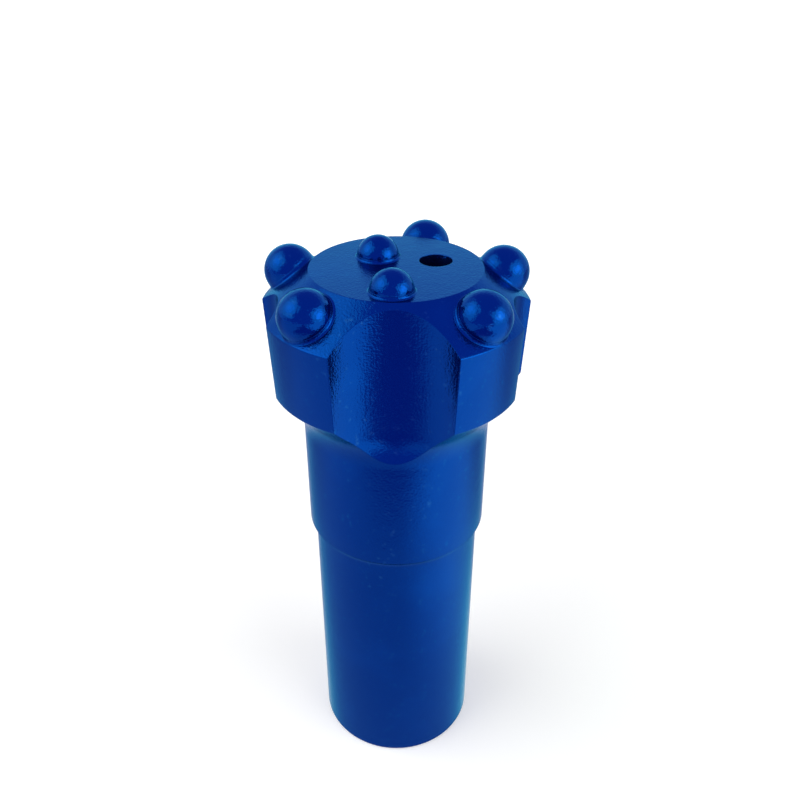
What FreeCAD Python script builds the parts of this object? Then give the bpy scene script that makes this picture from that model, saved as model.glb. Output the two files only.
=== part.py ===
"""Button drill bit: a one-piece steel body with pressed-in carbide buttons.

Frame: +Z is the bit's axis, from the open end of the skirt to the cutting face. The origin is the centre
of the skirt's end face. The first flute faces -Y. Lengths are millimetres, angles are degrees. Angles
round the bit are counted anticlockwise from -Y, seen from the cutting face.
"""
import FreeCAD, Part
import Sketcher
import math
import os

SIZES = {
    # turned outline of the steel body
    "total_height": 106.1,
    "face_dia": 29.6,
    "bevel_angle": 37.0,
    "gauge_dia": 46.6,
    "gauge_round": 0.35,
    "head_length": 20.35,
    "foot_inset": 0.75,
    "foot_round": 0.3,
    "underside_angle": 47.0,
    "cove_radius": 10.0,
    "collar_dia": 34.2,
    "shoulder_height": 55.0,
    "shoulder_fillet": 2.2,
    "skirt_dia": 32.0,
    "end_chamfer": 0.3,
    "seam_angle": 237.0,
    # tapered socket for the drill rod, and the water passages
    "socket_dia": 23.0,
    "socket_taper_angle": 7.0,
    "socket_depth": 62.0,
    "socket_lead": 1.0,
    "bore_dia": 8.0,
    "bore_roof": 26.1,
    "water_hole_dia": 5.6,
    "water_hole_reach": 7.3,
    "water_hole_angle": 112.6,
    "water_join": 3.2,
    # flutes: each is the path of a round-nosed cutter, parallel to the axis; the ratio is the cutter's
    # radius to the gauge radius
    "wide_flute_ratio": 0.5236,
    "wide_flute_depth": 7.55,
    "narrow_flute_ratio": 0.3305,
    "narrow_flute_depth": 3.2,
    "flute_runout": 8.05,
    "cutter_corner": 3.0,
    "flute_1_angle": 0.0,
    "flute_2_angle": 77.8,
    "flute_3_angle": 135.7,
    "flute_4_angle": 209.0,
    "flute_5_angle": 282.2,
    # gauge buttons, square to the bevel
    "gauge_button_dia": 9.2,
    "gauge_button_inset": 4.02,
    "gauge_button_proud": 0.45,
    "gauge_shank": 8.5,
    "gauge_1_angle": 45.3,
    "gauge_2_angle": 106.7,
    "gauge_3_angle": 164.7,
    "gauge_4_angle": 253.3,
    "gauge_5_angle": 314.7,
    # front buttons, square to the cutting face
    "front_button_dia": 7.3,
    "front_button_proud": 0.05,
    "front_shank": 8.0,
    "front_reach_1": 10.35,
    "front_1_angle": -2.8,
    "front_reach_2": 5.74,
    "front_2_angle": 214.4,
    # shared by all buttons and their holes
    "shank_chamfer": 0.7,
    "press_clearance": 0.01,
    "seat_gap": 0.2,
    "drill_point_angle": 118.0,
    "tool_overrun": 12.0,
}

WIDE_FLUTES = (1, 4)
NARROW_FLUTES = (2, 3, 5)
GAUGE_BUTTONS = (1, 2, 3, 4, 5)
FRONT_BUTTONS = (1, 2)


class Size:
    """A number together with the expression that binds it to the spreadsheet."""

    def __init__(self, value, text):
        self.value = value
        self.text = text

    def __add__(self, other):
        other = as_size(other)
        return Size(self.value + other.value, f"({self.text} + {other.text})")

    def __sub__(self, other):
        other = as_size(other)
        return Size(self.value - other.value, f"({self.text} - {other.text})")

    def __mul__(self, other):
        other = as_size(other)
        return Size(self.value * other.value, f"({self.text} * {other.text})")

    def __truediv__(self, other):
        other = as_size(other)
        return Size(self.value / other.value, f"({self.text} / {other.text})")

    def __neg__(self):
        return Size(-self.value, f"(0 - {self.text})")


def as_size(number):
    return number if isinstance(number, Size) else Size(number, repr(number))


def size(alias):
    return Size(SIZES[alias], "sizes." + alias)


def tangent(angle):
    return Size(math.tan(math.radians(angle.value)), f"tan({angle.text} * 1deg)")


def sine(angle):
    return Size(math.sin(math.radians(angle.value)), f"sin({angle.text} * 1deg)")


def cosine(angle):
    return Size(math.cos(math.radians(angle.value)), f"cos({angle.text} * 1deg)")


def arctangent(slope):
    return Size(math.degrees(math.atan(slope.value)), f"(atan({slope.text}) / 1deg)")


def root(square):
    return Size(math.sqrt(square.value), f"sqrt({square.text})")


ZERO = as_size(0)


class Frame:
    """A place at an angle round the bit: out from the axis, up, and leaning outwards."""

    def __init__(self, turn=ZERO, reach=ZERO, height=ZERO, lean=ZERO):
        self.turn = turn
        self.reach = reach
        self.height = height
        self.lean = lean

    def sketch_offset(self):
        """For a sketch on XZ, whose own Y axis is the bit's Z axis."""
        turned = f"placement(vector(0; 0; 0); rotation(vector(0; 1; 0); {self.turn.text} - 90))"
        moved = (f"placement(vector({self.reach.text}; {self.height.text}; 0); "
                 f"rotation(vector(0; 0; 1); 0 - {self.lean.text}))")
        return f"{turned} * {moved}"

    def body_placement(self):
        turned = f"placement(vector(0; 0; 0); rotation(vector(0; 0; 1); {self.turn.text} - 90))"
        moved = (f"placement(vector({self.reach.text}; 0; {self.height.text}); "
                 f"rotation(vector(0; 1; 0); {self.lean.text}))")
        return f"{turned} * {moved}"


def make_sheet(doc):
    sheet = doc.addObject("Spreadsheet::Sheet", "sizes")
    for row, (alias, value) in enumerate(SIZES.items(), start=1):
        sheet.set(f"A{row}", alias)
        sheet.set(f"B{row}", str(value))
        sheet.setAlias(f"B{row}", alias)
    doc.recompute()


def new_body(doc, node):
    body = doc.addObject("PartDesign::Body", node)
    body.Label = node
    return body


def bind(sketch, geometry, point, across, up):
    """Ties one sketch point to the sheet; a coordinate left as None is found by the arc through it."""
    for kind, coordinate in (("DistanceX", across), ("DistanceY", up)):
        if coordinate is not None:
            rule = Sketcher.Constraint(kind, -1, 1, geometry, point, coordinate.value)
            sketch.setExpression(f"Constraints[{sketch.addConstraint(rule)}]", coordinate.text)


def draw(sketch, corners):
    """Draws a closed outline through (across, up) corners.

    A third item on a corner makes the edge after it an arc: (centre across, centre up, whether it runs
    anticlockwise, and which of its end's coordinates, "across" or "up", is left for the arc to give).
    """
    count = len(corners)
    spots = [FreeCAD.Vector(corner[0].value, corner[1].value, 0) for corner in corners]
    arcs = {index: corner[2] for index, corner in enumerate(corners) if len(corner) > 2}
    for index in range(count):
        start, end = spots[index], spots[(index + 1) % count]
        if index in arcs:
            across, up, anticlockwise, free = arcs[index]
            centre = FreeCAD.Vector(across.value, up.value, 0)
            first, last = (start, end) if anticlockwise else (end, start)
            angles = [math.atan2(spot.y - centre.y, spot.x - centre.x) for spot in (first, last)]
            circle = Part.Circle(centre, FreeCAD.Vector(0, 0, 1), (start - centre).Length)
            sketch.addGeometry(Part.ArcOfCircle(circle, angles[0], angles[1]))
        else:
            sketch.addGeometry(Part.LineSegment(start, end))

    def ends(index):
        return (2, 1) if index in arcs and not arcs[index][2] else (1, 2)

    for index in range(count):
        following = (index + 1) % count
        joint = (index, ends(index)[1], following, ends(following)[0])
        sketch.addConstraint(Sketcher.Constraint("Coincident", *joint))
    for index, corner in enumerate(corners):
        across, up = corner[0], corner[1]
        if (index - 1) % count in arcs:
            free = arcs[(index - 1) % count][3]
            across = None if free == "across" else across
            up = None if free == "up" else up
        bind(sketch, index, ends(index)[0], across, up)
    for index, (across, up, anticlockwise, free) in arcs.items():
        bind(sketch, index, 3, across, up)


def frame_sketch(body, name, frame, corners):
    sketch = body.newObject("Sketcher::SketchObject", name + "_outline")
    plane = [item for item in body.Origin.OriginFeatures if item.Role == "XZ_Plane"][0]
    sketch.AttachmentSupport = [(plane, "")]
    sketch.MapMode = "FlatFace"
    sketch.setExpression("AttachmentOffset", frame.sketch_offset())
    draw(sketch, corners)
    return sketch


def turn_solid(body, name, frame, corners):
    """Revolves an outline about the frame's own axis, with its seam at the frame's turn."""
    sketch = frame_sketch(body, name, frame, corners)
    solid = body.newObject("PartDesign::Revolution", name)
    solid.Profile = sketch
    solid.ReferenceAxis = (sketch, ["V_Axis"])
    solid.Angle = 360
    body.Document.recompute()


def turn_cut(body, name, frame, corners):
    """Cuts what a tool of this outline sweeps as it spins about the frame's own axis."""
    before = body.Shape.Volume
    sketch = frame_sketch(body, name, frame, corners)
    cut = body.newObject("PartDesign::Groove", name)
    cut.Profile = sketch
    cut.ReferenceAxis = (sketch, ["V_Axis"])
    cut.Angle = 360
    body.Document.recompute()
    if not body.Shape.Volume < before:
        raise RuntimeError(name + " cuts nothing")


def gauge_radius():
    return size("gauge_dia") / 2


def foot_radius():
    """The foot is the head's lower edge, where its side meets the underside."""
    return gauge_radius() - size("foot_inset")


def foot_height():
    return size("total_height") - size("head_length")


def bore_end():
    return size("total_height") - size("bore_roof")


def bevel_height(reach):
    """Height of the bevel at a distance from the axis."""
    return size("total_height") - (reach - size("face_dia") / 2) * tangent(size("bevel_angle"))


def gauge_frame(number):
    """Where a gauge button's axis leaves the bevel."""
    reach = gauge_radius() - size("gauge_button_inset")
    return Frame(size(f"gauge_{number}_angle"), reach, bevel_height(reach), size("bevel_angle"))


def front_frame(number):
    """Where a front button's axis leaves the cutting face."""
    return Frame(size(f"front_{number}_angle"), size(f"front_reach_{number}"), size("total_height"))


def round_corner(across, up, before, after, radius):
    """The arc that rounds a corner of an outline, given the directions of its edges, as two corners."""
    anticlockwise = after.value > before.value
    signed = radius if anticlockwise else -radius
    run = signed * tangent((after - before) / 2)
    start = (across - run * cosine(before), up - run * sine(before))
    centre = (start[0] - signed * sine(before), start[1] + signed * cosine(before))
    end = (across + run * cosine(after), up + run * sine(after))
    return [(*start, (*centre, anticlockwise, "across")), end]


def turn_outline(body):
    """The forging as it comes off the lathe: skirt, collar, cove, head, bevel and cutting face."""
    skirt, collar = size("skirt_dia") / 2, size("collar_dia") / 2
    foot, gauge, face = foot_radius(), gauge_radius(), size("face_dia") / 2
    chamfer, fillet = size("end_chamfer"), size("shoulder_fillet")
    across = fillet - (collar - skirt)
    fillet_start = size("shoulder_height") - root(fillet * fillet - across * across)
    underside = size("underside_angle")
    cove_height = foot_height() - (foot - collar) * tangent(underside)
    gauge_height = bevel_height(gauge)
    straight_up = as_size(90)
    side = straight_up - arctangent((gauge - foot) / (gauge_height - foot_height()))
    bevel = as_size(180) - size("bevel_angle")
    turn_solid(body, "forging", Frame(size("seam_angle")), [
        (ZERO, ZERO),
        (skirt - chamfer, ZERO),
        (skirt, chamfer),
        (skirt, fillet_start, (skirt + fillet, fillet_start, False, "up")),
        (collar, size("shoulder_height")),
        *round_corner(collar, cove_height, straight_up, underside, size("cove_radius")),
        *round_corner(foot, foot_height(), underside, side, size("foot_round")),
        *round_corner(gauge, gauge_height, side, bevel, size("gauge_round")),
        (face, size("total_height")),
        (ZERO, size("total_height")),
    ])


def cut_flutes(body):
    """Chip flutes between the gauge buttons: two wide, three narrow."""
    corner, end = size("cutter_corner"), foot_height() - size("flute_runout")
    top = size("total_height") + size("tool_overrun") - end
    for kind, numbers in (("wide", WIDE_FLUTES), ("narrow", NARROW_FLUTES)):
        radius = gauge_radius() * size(kind + "_flute_ratio")
        reach = gauge_radius() - size(kind + "_flute_depth") + radius
        for number in numbers:
            turn_cut(body, f"flute_{number}", Frame(size(f"flute_{number}_angle"), reach, end), [
                (ZERO, ZERO),
                (radius - corner, ZERO, (radius - corner, corner, True, "across")),
                (radius, corner),
                (radius, top),
                (ZERO, top),
            ])


def drilled_outline(radius, depth, overrun):
    """A drill's outline, with its point below the depth."""
    point = radius / tangent(size("drill_point_angle") / 2)
    return [(ZERO, -(depth + point)), (radius, -depth), (radius, overrun), (ZERO, overrun)]


def drill_button_holes(body):
    rows = (("gauge", GAUGE_BUTTONS, gauge_frame), ("front", FRONT_BUTTONS, front_frame))
    for kind, numbers, frame_of in rows:
        radius = size(kind + "_button_dia") / 2 + size("press_clearance")
        depth = size(kind + "_shank") + size("seat_gap")
        outline = drilled_outline(radius, depth, size("tool_overrun"))
        for number in numbers:
            turn_cut(body, f"{kind}_hole_{number}", frame_of(number), outline)


def cut_socket(body):
    """The tapered rod socket and the water bore above it."""
    lead, depth, overrun = size("socket_lead"), size("socket_depth"), size("tool_overrun")
    slope = tangent(size("socket_taper_angle") / 2)
    mouth = size("socket_dia") / 2
    bore = size("bore_dia") / 2
    turn_cut(body, "socket", Frame(), [
        (ZERO, -overrun),
        (mouth + lead, -overrun),
        (mouth + lead, ZERO),
        (mouth - lead * slope, lead),
        (mouth - depth * slope, depth),
        (bore, depth),
        (bore, bore_end()),
        (ZERO, bore_end() + bore / tangent(size("drill_point_angle") / 2)),
    ])


def drill_water_hole(body):
    """The slanted hole that carries water from the bore's upper end to the cutting face."""
    reach, run = size("water_hole_reach"), size("bore_roof") + size("water_join")
    frame = Frame(size("water_hole_angle"), reach, size("total_height"), arctangent(reach / run))
    radius, depth = size("water_hole_dia") / 2, root(reach * reach + run * run)
    turn_cut(body, "water_hole", frame, [
        (ZERO, -depth),
        (radius, -depth),
        (radius, size("tool_overrun")),
        (ZERO, size("tool_overrun")),
    ])


def make_bit_body(doc):
    body = new_body(doc, "bit_body")
    turn_outline(body)
    cut_flutes(body)
    drill_button_holes(body)
    cut_socket(body)
    drill_water_hole(body)
    return body


def make_button(doc, kind, number, frame):
    """A carbide button: a half-ball dome on a straight shank with a chamfered end."""
    radius, shank = size(kind + "_button_dia") / 2, size(kind + "_shank")
    proud, chamfer = size(kind + "_button_proud"), size("shank_chamfer")
    body = new_body(doc, f"{kind}_button_{number}")
    body.setExpression("Placement", frame.body_placement())
    turn_solid(body, "button", Frame(), [
        (ZERO, -shank),
        (radius - chamfer, -shank),
        (radius, chamfer - shank),
        (radius, proud, (ZERO, proud, True, "up")),
        (ZERO, proud + radius),
    ])
    return body


def check(doc, bodies):
    for item in doc.Objects:
        if "Invalid" in item.State or "Error" in item.State:
            raise RuntimeError(f"{item.Name} is {item.State}")
    for body in bodies:
        if body.Shape.isNull() or not body.Shape.isValid() or len(body.Shape.Solids) != 1:
            raise RuntimeError(f"{body.Label} isn't one valid solid")


def main():
    doc = FreeCAD.newDocument("button_drill_bit")
    make_sheet(doc)
    bodies = [make_bit_body(doc)]
    bodies += [make_button(doc, "gauge", number, gauge_frame(number)) for number in GAUGE_BUTTONS]
    bodies += [make_button(doc, "front", number, front_frame(number)) for number in FRONT_BUTTONS]
    doc.recompute()
    check(doc, bodies)
    os.makedirs("parts", exist_ok=True)
    for body in bodies:
        body.Shape.exportStep(f"parts/{body.Label}.step")
        print(body.Label, "volume", round(body.Shape.Volume, 2))


main()
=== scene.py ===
import math
import bpy
from mathutils import Matrix, Vector


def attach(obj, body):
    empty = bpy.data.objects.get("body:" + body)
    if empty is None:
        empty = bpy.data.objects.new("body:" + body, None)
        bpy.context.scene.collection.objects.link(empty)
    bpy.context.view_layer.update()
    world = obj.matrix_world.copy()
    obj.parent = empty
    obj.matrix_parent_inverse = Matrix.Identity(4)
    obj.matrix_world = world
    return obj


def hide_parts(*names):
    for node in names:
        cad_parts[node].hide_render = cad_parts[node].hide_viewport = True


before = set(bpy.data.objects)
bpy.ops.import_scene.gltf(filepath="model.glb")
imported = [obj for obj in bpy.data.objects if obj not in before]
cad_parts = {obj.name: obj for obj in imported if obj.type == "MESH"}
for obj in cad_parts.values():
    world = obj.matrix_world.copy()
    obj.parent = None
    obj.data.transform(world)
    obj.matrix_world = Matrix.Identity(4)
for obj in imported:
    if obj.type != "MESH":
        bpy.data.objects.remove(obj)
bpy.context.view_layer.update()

# The steel body: one forging, turned from its drilled core out to the skirt, shoulder, cove, head, bevel
# and cutting face. The chip flutes are milled, and the water hole and the button holes drilled.
mm = 0.001
SIDES = 256                      # facets in a full turn of the body
BEVEL = math.radians(37)         # slope of the bevel below level
FACE_RADIUS, FACE_HEIGHT = 14.8, 106.1
GAUGE_RADIUS, FOOT_RADIUS, FOOT_HEIGHT = 23.3, 22.55, 85.75
UNDERSIDE = math.radians(47)     # slope of the head's underside above level
COLLAR_RADIUS, SKIRT_RADIUS = 17.1, 16.0
SHOULDER_HEIGHT, SHOULDER_FILLET = 55.0, 2.2
SOCKET_SLOPE = math.tan(math.radians(3.5))


def arc_points(centre, radius, start, end, steps):
    """(radius, height) points along an arc of the outline, angles in degrees from outwards."""
    turns = [math.radians(start + (end - start) * i / steps) for i in range(steps + 1)]
    return [(centre[0] + radius * math.cos(t), centre[1] + radius * math.sin(t)) for t in turns]


def draw_along(outline):
    """Extrudes what is selected from point to point of an outline, and widens it to each radius."""
    for before, after in zip(outline, outline[1:]):
        bpy.ops.mesh.extrude_region_move(
            TRANSFORM_OT_translate={"value": (0, 0, (after[1] - before[1]) * mm)})
        growth = after[0] / before[0]
        bpy.ops.transform.resize(value=(growth, growth, 1), center_override=(0, 0, after[1] * mm))
    bpy.ops.mesh.select_all(action="SELECT")


def turn_on_lathe(name, outline, sides):
    """A closed turned solid: a disc drawn along the outline, one extrusion to a step."""
    bpy.ops.object.select_all(action="DESELECT")
    first = outline[0]
    bpy.ops.mesh.primitive_circle_add(vertices=sides, radius=first[0] * mm, fill_type="NGON",
                                      location=(0, 0, first[1] * mm))
    piece = bpy.context.active_object
    piece.name = piece.data.name = name
    bpy.ops.object.transform_apply(location=True)
    bpy.ops.object.mode_set(mode="EDIT")
    draw_along(outline)
    bpy.ops.mesh.normals_make_consistent(inside=False)
    bpy.ops.object.mode_set(mode="OBJECT")
    return piece


gauge_height = FACE_HEIGHT - (GAUGE_RADIUS - FACE_RADIUS) * math.tan(BEVEL)
cove_corner = FOOT_HEIGHT - (FOOT_RADIUS - COLLAR_RADIUS) * math.tan(UNDERSIDE)
cove_centre = (COLLAR_RADIUS + 10, cove_corner - 10 * math.tan((math.pi / 2 - UNDERSIDE) / 2))
shoulder_centre = (SKIRT_RADIUS + SHOULDER_FILLET,
                   SHOULDER_HEIGHT - math.sqrt(SHOULDER_FILLET ** 2 - (SHOULDER_FILLET - 1.1) ** 2))
side_lean = math.degrees(math.atan((GAUGE_RADIUS - FOOT_RADIUS) / (gauge_height - FOOT_HEIGHT)))


def rounded(corner, turn_in, turn_out, radius, steps):
    """Points round an outward corner, where the outline's own direction turns from one angle to another."""
    half = math.radians((turn_out - turn_in) / 2)
    middle = math.radians((turn_in + turn_out) / 2 + 90)
    centre = (corner[0] + radius / math.cos(half) * math.cos(middle),
              corner[1] + radius / math.cos(half) * math.sin(middle))
    return arc_points(centre, radius, turn_in - 90, turn_out - 90, steps)


outline = [(0.2, 82.3), (4.0, 80.0), (4.0, 62.0), (11.5 - 62 * SOCKET_SLOPE, 62.0)]
outline += [(11.5 - depth * SOCKET_SLOPE, depth) for depth in (50, 40, 30, 20, 10, 1)]
outline += [(12.5, 0.0), (15.7, 0.0), (16.0, 0.3)]
outline += [(SKIRT_RADIUS, height) for height in (10, 20, 30, 40, 50)]
outline += arc_points(shoulder_centre, SHOULDER_FILLET, 180, 120, 10)
outline += rounded((COLLAR_RADIUS, SHOULDER_HEIGHT), 30, 90, 0.15, 6)
outline += [(COLLAR_RADIUS, height) for height in (60, 65, 70)]
outline += arc_points(cove_centre, 10, 180, 90 + math.degrees(UNDERSIDE), 16)
outline += rounded((FOOT_RADIUS, FOOT_HEIGHT), math.degrees(UNDERSIDE), 90 - side_lean, 0.3, 6)
outline += [(FOOT_RADIUS + (GAUGE_RADIUS - FOOT_RADIUS) * part, FOOT_HEIGHT +
             (gauge_height - FOOT_HEIGHT) * part) for part in (0.2, 0.4, 0.6, 0.8)]
outline += rounded((GAUGE_RADIUS, gauge_height), 90 - side_lean, 180 - math.degrees(BEVEL), 0.35, 10)
outline += [(radius, FACE_HEIGHT - (radius - FACE_RADIUS) * math.tan(BEVEL))
            for radius in (22, 21, 20, 19, 18, 17, 16)]
outline += [(FACE_RADIUS, FACE_HEIGHT), (1.0, FACE_HEIGHT)]
body = turn_on_lathe("steel_body", outline, SIDES)


def place(piece, turn, reach, height, lean):
    """Puts a piece that stands on the origin at its seat, and writes the place into its mesh."""
    seat = (Matrix.Rotation(math.radians(turn - 90), 4, "Z") @ Matrix.Translation((reach * mm, 0, height * mm))
            @ Matrix.Rotation(lean, 4, "Y"))
    piece.matrix_world = seat
    bpy.ops.object.select_all(action="DESELECT")
    piece.select_set(True)
    bpy.context.view_layer.objects.active = piece
    bpy.ops.object.transform_apply(location=True, rotation=True, scale=True)


BUTTON_SIDES = 96                # facets in a full turn of a button or of a hole
GAUGE_REACH = 19.28              # from the axis to a gauge button's seat on the bevel
# Each seat: angle round the bit in degrees, reach and height in mm, and lean in radians.
GAUGE_SEATS = [(turn, GAUGE_REACH, FACE_HEIGHT - (GAUGE_REACH - FACE_RADIUS) * math.tan(BEVEL), BEVEL)
               for turn in (45.3, 106.7, 164.7, 253.3, 314.7)]
FRONT_SEATS = [(-2.8, 10.35, FACE_HEIGHT, 0), (214.4, 5.74, FACE_HEIGHT, 0)]
WATER_SEAT = (112.6, 7.3, FACE_HEIGHT, math.radians(14))
# Each milling cutter: radius, reach of its axis, height of its lower end and rounding of its nose.
WIDE, NARROW = (12.2, 27.95, 71.7, 11.5), (7.7, 27.8, 77.7, 3)
FLUTES = [(turn, *mill) for turn, mill in ((0, WIDE), (77.8, NARROW), (135.7, NARROW), (209, WIDE),
                                           (282.2, NARROW))]
cutters = []
for number, (turn, radius, reach, foot, nose) in enumerate(FLUTES, start=1):
    round_nose = arc_points((radius - nose, nose), nose, -90, 0, 24)
    cutter = turn_on_lathe(f"flute_cutter_{number}", [(0.3, 0)] + round_nose + [(radius, 40), (0.3, 40)], 200)
    place(cutter, turn, reach, foot, 0)
    cutters.append(cutter)
for seats, radius, depth in ((GAUGE_SEATS, 4.61, 8.7), (FRONT_SEATS, 3.66, 8.2)):
    for seat in seats:
        drill = turn_on_lathe("button_drill", [(0.1, -depth - radius * 0.6), (radius, -depth), (radius, 12),
                                               (0.1, 12)], BUTTON_SIDES)
        place(drill, *seat)
        cutters.append(drill)
drill = turn_on_lathe("water_drill", [(0.1, -28.5), (2.8, -28), (2.8, 12), (0.1, 12)], BUTTON_SIDES)
place(drill, *WATER_SEAT)
cutters.append(drill)
for cutter in cutters:
    bpy.ops.object.select_all(action="DESELECT")
    bpy.context.view_layer.objects.active = body
    cut = body.modifiers.new(cutter.name, "BOOLEAN")
    cut.object, cut.operation, cut.solver = cutter, "DIFFERENCE", "EXACT"
    bpy.ops.object.modifier_apply(modifier=cut.name)
    bpy.data.meshes.remove(cutter.data)
bpy.ops.object.select_all(action="DESELECT")
body.select_set(True)
bpy.context.view_layer.objects.active = body
bpy.ops.object.shade_smooth_by_angle(angle=math.radians(12))
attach(body, "root")
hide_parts("bit_body")

# The paint: a deep blue metallic enamel, sprayed over the assembled bit and not rubbed down. It dries with a fine
# orange peel, gathers in every corner and pulls thin over the arrises, and dust settles in it while it is wet.


def new_group(name, numbers, outlet, kind):
    """An empty shader node group with number inputs and one output."""
    group = bpy.data.node_groups.new(name, "ShaderNodeTree")
    for label, value in numbers:
        group.interface.new_socket(label, in_out="INPUT", socket_type="NodeSocketFloat").default_value = value
    group.interface.new_socket(outlet, in_out="OUTPUT", socket_type=kind)
    return group, group.nodes.new("NodeGroupInput"), group.nodes.new("NodeGroupOutput")


def sum_of(group, parts):
    """Adds height fields up, each with its own depth: the result is in metres."""
    total = None
    for field, depth in parts:
        term = group.nodes.new("ShaderNodeMath")
        term.operation = "MULTIPLY_ADD"
        group.links.new(field, term.inputs[0])
        group.links.new(depth, term.inputs[1])
        if total is None:
            term.inputs[2].default_value = 0
        else:
            group.links.new(total, term.inputs[2])
        total = term.outputs[0]
    return total


def noise(group, coords, scale, detail, stretch=(1, 1, 1)):
    """A noise pattern whose scale is in lumps to the metre."""
    turn = group.nodes.new("ShaderNodeMapping")
    turn.inputs["Scale"].default_value = stretch
    pattern = group.nodes.new("ShaderNodeTexNoise")
    pattern.inputs["Scale"].default_value = scale
    pattern.inputs["Detail"].default_value = detail
    group.links.new(coords, turn.inputs["Vector"])
    group.links.new(turn.outputs[0], pattern.inputs["Vector"])
    return pattern.outputs["Fac"]


def mixed(tree, factor, first, second):
    """A colour between two others. The first may be a node's output or a plain colour."""
    mix = tree.nodes.new("ShaderNodeMix")
    mix.data_type = "RGBA"
    tree.links.new(factor, mix.inputs["Factor"])
    for socket, colour in (("A", first), ("B", second)):
        if isinstance(colour, tuple):
            mix.inputs[socket].default_value = (*colour, 1)
        else:
            tree.links.new(colour, mix.inputs[socket])
    return mix.outputs["Result"]


skin, inlet, outlet = new_group("wet_paint_skin", [("Peel Depth", 0.006 * mm), ("Flow Depth", 0.02 * mm),
                                                   ("Speck Depth", 0.05 * mm), ("Mill Depth", 0.0)],
                                "Height", "NodeSocketFloat")
place_in = skin.nodes.new("ShaderNodeTexCoord").outputs["Object"]
specks = skin.nodes.new("ShaderNodeTexVoronoi")
specks.inputs["Scale"].default_value = 180
skin.links.new(place_in, specks.inputs["Vector"])
speck_size = skin.nodes.new("ShaderNodeMapRange")
speck_size.inputs["From Min"].default_value, speck_size.inputs["From Max"].default_value = 0.055, 0.0
skin.links.new(specks.outputs["Distance"], speck_size.inputs["Value"])
height = sum_of(skin, [(noise(skin, place_in, 2600, 1.5), inlet.outputs["Peel Depth"]),
                       (noise(skin, place_in, 520, 1), inlet.outputs["Flow Depth"]),
                       (noise(skin, place_in, 3000, 1, (1, 1, 0.06)), inlet.outputs["Mill Depth"]),
                       (speck_size.outputs[0], inlet.outputs["Speck Depth"])])
skin.links.new(height, outlet.inputs["Height"])

tone, inlet, outlet = new_group("paint_tone", [("Thin Paint", 0.25), ("Dust", 0.15)], "Color", "NodeSocketColor")
place_in = tone.nodes.new("ShaderNodeTexCoord").outputs["Object"]
colour = (0.0, 0.022, 0.19)
for label, pattern, low, high, shade in (
        ("Thin Paint", noise(tone, place_in, 70, 3), 0.5, 0.75, (0.0, 0.034, 0.25)),
        ("Dust", noise(tone, place_in, 900, 3), 0.62, 0.75, (0.02, 0.09, 0.30))):
    spread = tone.nodes.new("ShaderNodeMapRange")
    spread.inputs["From Min"].default_value, spread.inputs["From Max"].default_value = low, high
    tone.links.new(pattern, spread.inputs["Value"])
    amount = tone.nodes.new("ShaderNodeMath")
    amount.operation = "MULTIPLY"
    tone.links.new(spread.outputs[0], amount.inputs[0])
    tone.links.new(inlet.outputs[label], amount.inputs[1])
    colour = mixed(tone, amount.outputs[0], colour, shade)
tone.links.new(colour, outlet.inputs["Color"])


def enamel(name, gloss, edge_radius, peel, flow, speck, mill, thin, dust):
    """Blue enamel over arrises rounded by the paint; edge radius and the four depths are in mm."""
    paint = bpy.data.materials.new(name)
    paint.use_nodes = True
    nodes, links = paint.node_tree.nodes, paint.node_tree.links
    shader = nodes["Principled BSDF"]
    shader.inputs["Metallic"].default_value = 0.9
    shader.inputs["Roughness"].default_value = gloss
    shader.inputs["IOR"].default_value = 1.5
    shader.inputs["Specular Tint"].default_value = (0.2, 0.66, 0.9, 1)
    edge = nodes.new("ShaderNodeBevel")
    edge.samples = 6
    edge.inputs["Radius"].default_value = edge_radius * mm
    height = nodes.new("ShaderNodeGroup")
    height.node_tree = skin
    height.inputs["Peel Depth"].default_value = peel * mm
    height.inputs["Flow Depth"].default_value = flow * mm
    height.inputs["Speck Depth"].default_value = speck * mm
    height.inputs["Mill Depth"].default_value = mill * mm
    bump = nodes.new("ShaderNodeBump")
    bump.inputs["Distance"].default_value = 1
    links.new(height.outputs[0], bump.inputs["Height"])
    links.new(edge.outputs["Normal"], bump.inputs["Normal"])
    links.new(bump.outputs["Normal"], shader.inputs["Normal"])
    shade = nodes.new("ShaderNodeGroup")
    shade.node_tree = tone
    shade.inputs["Thin Paint"].default_value = thin
    shade.inputs["Dust"].default_value = dust
    links.new(shade.outputs[0], shader.inputs["Base Color"])
    return paint


body.data.materials.append(enamel("body_enamel", gloss=0.18, edge_radius=0.2, peel=0.045, flow=0.022,
                                  speck=0.035, mill=0, thin=0.4, dust=0.25))
body.data.materials.append(enamel("flute_enamel", gloss=0.18, edge_radius=0.2, peel=0.05, flow=0.03,
                                  speck=0.03, mill=0.018, thin=0.3, dust=0.25))

# Inside the socket the paint stops: the drill rod's seat is bare bored steel, oiled, with fine turning rings.
bore_steel = bpy.data.materials.new("bored_steel")
bore_steel.use_nodes = True
nodes, links = bore_steel.node_tree.nodes, bore_steel.node_tree.links
shader = nodes["Principled BSDF"]
shader.inputs["Metallic"].default_value = 0.9
ringed = nodes.new("ShaderNodeTexNoise")
ringed.inputs["Scale"].default_value = 40
ringed.inputs["Detail"].default_value = 4
squash = nodes.new("ShaderNodeMapping")
squash.inputs["Scale"].default_value = (0.6, 0.6, 60)
links.new(nodes.new("ShaderNodeTexCoord").outputs["Object"], squash.inputs["Vector"])
links.new(squash.outputs[0], ringed.inputs["Vector"])
for socket, low, high in (("Base Color", (0.09, 0.085, 0.08), (0.28, 0.27, 0.26)),
                          ("Roughness", (0.3, 0.3, 0.3), (0.5, 0.5, 0.5))):
    links.new(mixed(bore_steel.node_tree, ringed.outputs["Fac"], low, high), shader.inputs[socket])
rings = nodes.new("ShaderNodeBump")
rings.inputs["Distance"].default_value = 0.02 * mm
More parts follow.
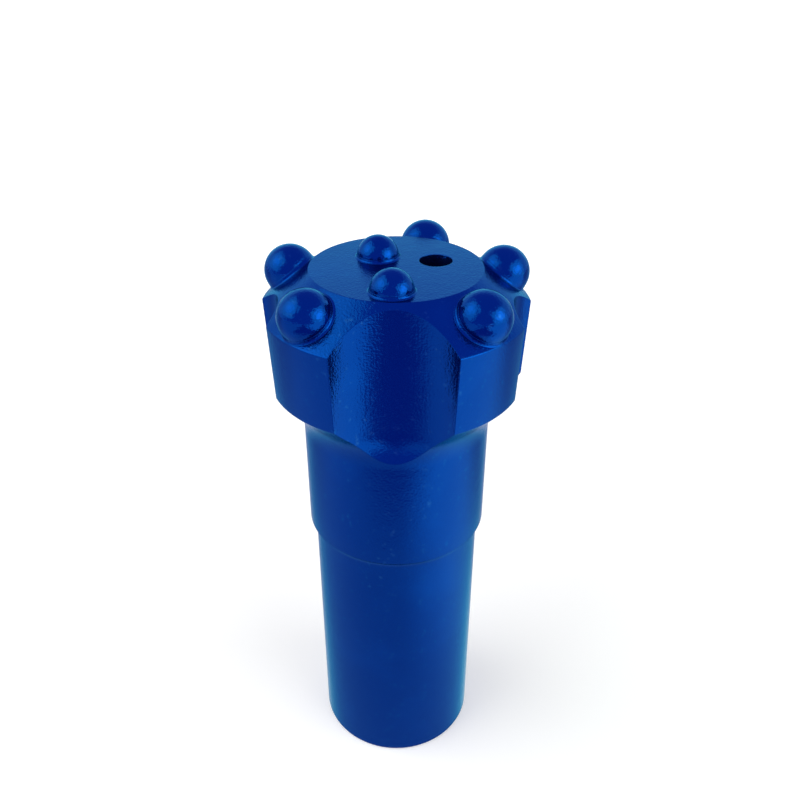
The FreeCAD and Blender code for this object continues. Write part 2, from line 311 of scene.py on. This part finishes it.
links.new(ringed.outputs["Fac"], rings.inputs["Height"])
links.new(rings.outputs["Normal"], shader.inputs["Normal"])
body.data.materials.append(bore_steel)
BORE_MOUTH, BORE_TOP, FLUTE_FOOT = 11.9, 81, 76    # where the bare bore begins and ends, and the flutes begin
FLUTE_PAINT, BARE_STEEL = 1, 2                     # places in the body's list of materials
for face in body.data.polygons:
    centre = face.center / mm
    if math.hypot(centre.x, centre.y) < BORE_MOUTH and centre.z < BORE_TOP:
        face.material_index = BARE_STEEL
    for turn, radius, reach, foot, nose in FLUTES:
        axis = Vector((math.cos(math.radians(turn - 90)), math.sin(math.radians(turn - 90)))) * reach
        if centre.z > FLUTE_FOOT and abs(math.hypot(centre.x - axis.x, centre.y - axis.y) - radius) < 0.1:
            face.material_index = FLUTE_PAINT


# The buttons: sintered tungsten carbide pins with a half-ball head, pressed into their holes. The paint runs
# over them too, and leaves a fillet in the corner where each ball meets the steel.
button_enamel = enamel("button_enamel", gloss=0.09, edge_radius=0.15, peel=0.05, flow=0.05,
                       speck=0.04, mill=0, thin=0.15, dust=0.2)


def fillet_ring(name, radius, proud):
    """The paint in the corner round a button: a closed ring with a hollow face from steel to ball."""
    hollow = [(radius + 0.42, -0.30), (radius + 0.38, 0.0), (radius + 0.24, 0.05), (radius + 0.13, 0.13),
              (radius + 0.05, 0.28), (radius + 0.01, 0.55 + proud * 0.4)]
    section = hollow + [(radius - 0.12, 0.45 + proud * 0.4), (radius - 0.12, -0.30)]
    bpy.ops.object.select_all(action="DESELECT")
    bpy.ops.mesh.primitive_circle_add(vertices=BUTTON_SIDES, radius=section[0][0] * mm,
                                      location=(0, 0, section[0][1] * mm))
    ring = bpy.context.active_object
    ring.name = ring.data.name = name
    bpy.ops.object.transform_apply(location=True)
    bpy.ops.object.mode_set(mode="EDIT")
    bpy.ops.mesh.select_all(action="SELECT")
    draw_along(section + section[:1])
    bpy.ops.mesh.remove_doubles(threshold=1e-7)
    bpy.ops.mesh.normals_make_consistent(inside=False)
    bpy.ops.object.mode_set(mode="OBJECT")
    return ring


for kind, seats, radius, proud, shank in (("gauge", GAUGE_SEATS, 4.6, 0.45, 8.5),
                                          ("front", FRONT_SEATS, 3.65, 0.05, 8.0)):
    for number, seat in enumerate(seats, start=1):
        pin = [(0.5, -shank), (radius - 0.7, -shank), (radius, 0.7 - shank), (radius, -2)]
        pin += arc_points((0, proud), radius, 0, 89, 32)
        button = turn_on_lathe(f"{kind}_pin_{number}", pin, BUTTON_SIDES)
        place(button, *seat)
        bpy.ops.object.shade_smooth_by_angle(angle=math.radians(30))
        button.data.materials.append(button_enamel)
        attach(button, "root")
        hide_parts(f"{kind}_button_{number}")
        fillet = fillet_ring(f"paint_fillet_{kind}_{number}", radius, proud)
        if kind == "gauge":      # the bevel is a cone, so it falls away to both sides of the seat
            for vertex in fillet.data.vertices:
                vertex.co.z -= vertex.co.y ** 2 / (2 * seat[1] * mm / math.sin(BEVEL))
        place(fillet, *seat)
        bpy.ops.object.shade_smooth_by_angle(angle=math.radians(50))
        fillet.data.materials.append(button_enamel)
        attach(fillet, "root")

# The table: a flat matt white top. It glows a little for the camera and in reflections, more with distance,
# so that it stays white to the edge and still keeps the bit's shadow.
bpy.ops.object.select_all(action="DESELECT")
bpy.ops.mesh.primitive_plane_add(size=6, location=(0, 0, 0))
floor = bpy.context.active_object
floor.name = "table_top"
white = bpy.data.materials.new("white_table")
white.use_nodes = True
nodes, links = white.node_tree.nodes, white.node_tree.links
nodes["Principled BSDF"].inputs["Base Color"].default_value = (0.85, 0.85, 0.85, 1)
nodes["Principled BSDF"].inputs["Roughness"].default_value = 0.9
glow = nodes.new("ShaderNodeEmission")
ray = nodes.new("ShaderNodeLightPath")
mirrored = nodes.new("ShaderNodeMath")
mirrored.operation = "ADD"
links.new(ray.outputs["Is Glossy Ray"], mirrored.inputs[0])
links.new(ray.outputs["Is Transmission Ray"], mirrored.inputs[1])
seen = nodes.new("ShaderNodeMath")
seen.operation = "ADD"
seen.use_clamp = True
links.new(ray.outputs["Is Camera Ray"], seen.inputs[0])
links.new(mirrored.outputs[0], seen.inputs[1])
spot = nodes.new("ShaderNodeVectorMath")
spot.operation = "LENGTH"
links.new(nodes.new("ShaderNodeTexCoord").outputs["Object"], spot.inputs[0])
fade = nodes.new("ShaderNodeMapRange")
fade.interpolation_type = "SMOOTHSTEP"
fade.inputs["From Min"].default_value, fade.inputs["From Max"].default_value = 0.03, 0.5
fade.inputs["To Min"].default_value, fade.inputs["To Max"].default_value = 0.25, 0.9
links.new(spot.outputs["Value"], fade.inputs["Value"])
gain = nodes.new("ShaderNodeMath")
gain.operation = "MULTIPLY"
links.new(fade.outputs[0], gain.inputs[1])
links.new(seen.outputs[0], gain.inputs[0])
links.new(gain.outputs[0], glow.inputs["Strength"])
total = nodes.new("ShaderNodeAddShader")
links.new(nodes["Principled BSDF"].outputs[0], total.inputs[0])
links.new(glow.outputs[0], total.inputs[1])
links.new(total.outputs[0], nodes["Material Output"].inputs["Surface"])
floor.data.materials.append(white)

# The room: the camera sees it plain white. In reflections it is pale low down and behind the bit, and dimmer
# and bluer above and in front, as an unlit studio is.
world = bpy.data.worlds.new("white_room")
bpy.context.scene.world = world
world.use_nodes = True
nodes, links = world.node_tree.nodes, world.node_tree.links


def sloped(value, low, high):
    """0 below low, 1 above high and a smooth slope between."""
    slope = nodes.new("ShaderNodeMapRange")
    slope.interpolation_type = "SMOOTHSTEP"
    slope.inputs["From Min"].default_value, slope.inputs["From Max"].default_value = low, high
    links.new(value, slope.inputs["Value"])
    return slope.outputs[0]


def worked(operation, first, second, third=0.0):
    """One arithmetic step, on numbers or on other nodes' outputs."""
    step = nodes.new("ShaderNodeMath")
    step.operation = operation
    for socket, value in zip(step.inputs, (first, second, third)):
        if isinstance(value, (int, float)):
            socket.default_value = value
        else:
            links.new(value, socket)
    return step.outputs[0]


towards = nodes.new("ShaderNodeSeparateXYZ")
links.new(nodes.new("ShaderNodeTexCoord").outputs["Generated"], towards.inputs[0])
ray = nodes.new("ShaderNodeLightPath")
low_wall = worked("SUBTRACT", 1.0, sloped(towards.outputs["Z"], 0.35, 0.75))
behind = sloped(towards.outputs["Y"], -0.5, 0.1)
wall = worked("MULTIPLY", low_wall, behind)
room_tree = world.node_tree
reflected = mixed(room_tree, wall, (0.55, 0.5, 1.0), (1.4, 1.6, 1.4))
lit = mixed(room_tree, ray.outputs["Is Glossy Ray"], (0.35, 0.35, 0.35), reflected)
seen = worked("MAXIMUM", ray.outputs["Is Camera Ray"], ray.outputs["Is Transmission Ray"])
links.new(mixed(room_tree, seen, lit, (1.0, 1.0, 1.0)), nodes["Background"].inputs["Color"])
nodes["Background"].inputs["Strength"].default_value = 1

# The lamps: two softboxes, one to each side, that face the bit's head. Each has a cloth in front that only
# reflections see, brightest in the middle.
HEAD_HEIGHT = 0.09


def softbox(name, turn, lift, distance, width, height, radiance, core):
    """A soft rectangular lamp at an angle round the bit and above the table, with a brighter core."""
    turn, lift = math.radians(turn - 90), math.radians(lift)
    reach = distance * math.cos(lift)
    seat = Vector((reach * math.cos(turn), reach * math.sin(turn), HEAD_HEIGHT + distance * math.sin(lift)))
    bpy.ops.object.select_all(action="DESELECT")
    bpy.ops.object.light_add(type="AREA", location=seat)
    lamp = bpy.context.active_object
    lamp.name = name
    lamp.data.shape = "RECTANGLE"
    lamp.data.size, lamp.data.size_y = width, height
    lamp.data.energy = radiance * math.pi * width * height
    lamp.rotation_euler = (Vector((0, 0, HEAD_HEIGHT)) - seat).to_track_quat("-Z", "Y").to_euler()
    lamp.visible_glossy = False
    bpy.ops.object.select_all(action="DESELECT")
    bpy.ops.mesh.primitive_plane_add(size=1, location=seat, rotation=lamp.rotation_euler)
    cloth = bpy.context.active_object
    cloth.name = name + "_cloth"
    cloth.scale = (width, height, 1)
    front = bpy.data.materials.new(cloth.name)
    front.use_nodes = True
    nodes, links = front.node_tree.nodes, front.node_tree.links
    nodes.remove(nodes["Principled BSDF"])
    centred = nodes.new("ShaderNodeVectorMath")
    centred.operation = "LENGTH"
    links.new(nodes.new("ShaderNodeTexCoord").outputs["Object"], centred.inputs[0])
    falloff = nodes.new("ShaderNodeMapRange")
    falloff.interpolation_type = "SMOOTHSTEP"
    falloff.inputs["From Min"].default_value, falloff.inputs["From Max"].default_value = 0.05, 0.45
    falloff.inputs["To Min"].default_value, falloff.inputs["To Max"].default_value = core, radiance * 0.8
    links.new(centred.outputs["Value"], falloff.inputs["Value"])
    shine = nodes.new("ShaderNodeEmission")
    shine.inputs["Color"].default_value = (1.0, 1.4, 1.0, 1)
    links.new(falloff.outputs[0], shine.inputs["Strength"])
    links.new(shine.outputs[0], nodes["Material Output"].inputs["Surface"])
    cloth.data.materials.append(front)
    cloth.visible_camera = cloth.visible_shadow = cloth.visible_diffuse = False


softbox("left_softbox", turn=-81, lift=38, distance=0.5, width=0.65, height=0.56, radiance=2.2, core=3.0)
softbox("right_softbox", turn=64, lift=20, distance=0.5, width=0.60, height=0.48, radiance=2.4, core=4.5)

# The card: a glowing sheet that lies on the table, and only reflections see it, a painted reflection of the lit
# table. It is dim in front, a painted shade, paler behind and to the left, and brightest to the right, a painted
# pool of lamp light.
bpy.ops.object.select_all(action="DESELECT")
bpy.ops.mesh.primitive_plane_add(size=2, location=(0, 0, 0.0005))
card = bpy.context.active_object
card.name = "painted_reflection_card"
bpy.ops.object.transform_apply(location=True)
grade = bpy.data.materials.new("painted_reflection_card")
grade.use_nodes = True
nodes, links = grade.node_tree.nodes, grade.node_tree.links
nodes.remove(nodes["Principled BSDF"])
spot = nodes.new("ShaderNodeSeparateXYZ")
links.new(nodes.new("ShaderNodeTexCoord").outputs["Object"], spot.inputs[0])
shine = (1.02, 1.02, 1.02)
# Painted shade in front of the bit and a painted pool of light to its right, seen only in reflections.
painted_front_shade = worked("MULTIPLY", sloped(spot.outputs["Y"], -0.09, -0.13),
                  worked("MULTIPLY", sloped(spot.outputs["X"], 0.13, 0.09), sloped(spot.outputs["X"], -0.16, -0.1)))
for reach, shade in ((sloped(spot.outputs["X"], -0.02, -0.12), (1.25, 1.25, 1.25)),
                     (sloped(spot.outputs["X"], 0.0, 0.08), (1.9, 2.5, 2.0)),
                     (sloped(spot.outputs["Y"], -0.02, 0.06), (0.8, 0.7, 0.85)),
                     (painted_front_shade, (0.4, 0.25, 0.72))):
    shine = mixed(grade.node_tree, reach, shine, shade)
glow = nodes.new("ShaderNodeEmission")
links.new(shine, glow.inputs["Color"])
links.new(glow.outputs[0], nodes["Material Output"].inputs["Surface"])
card.data.materials.append(grade)
card.visible_camera = card.visible_shadow = card.visible_diffuse = False

# The camera stands a little above the cutting face and looks down at it.
bpy.ops.object.select_all(action="DESELECT")
bpy.ops.object.camera_add()
camera = bpy.context.active_object
camera.name = "camera"
camera.data.sensor_width = 36
camera.data.lens = 36.158
camera.data.clip_start, camera.data.clip_end = 0.005, 20
turn_z, yaw, pitch, roll = math.radians(1.0), 0.0053, math.radians(31.21), 0.0018
ahead = Vector((math.sin(yaw) * math.cos(pitch), math.cos(yaw) * math.cos(pitch), -math.sin(pitch)))
right = Vector((math.cos(yaw), -math.sin(yaw), 0))
up = right.cross(ahead)
right, up = math.cos(roll) * right + math.sin(roll) * up, math.cos(roll) * up - math.sin(roll) * right
view = Matrix((right, up, -ahead)).transposed().to_4x4()
camera.matrix_world = (Matrix.Rotation(turn_z, 4, "Z") @ Matrix.Translation((0, -127.16 * mm, 156.87 * mm))
                       @ view)
bpy.context.scene.camera = camera
bpy.context.scene.view_settings.view_transform = "Standard"
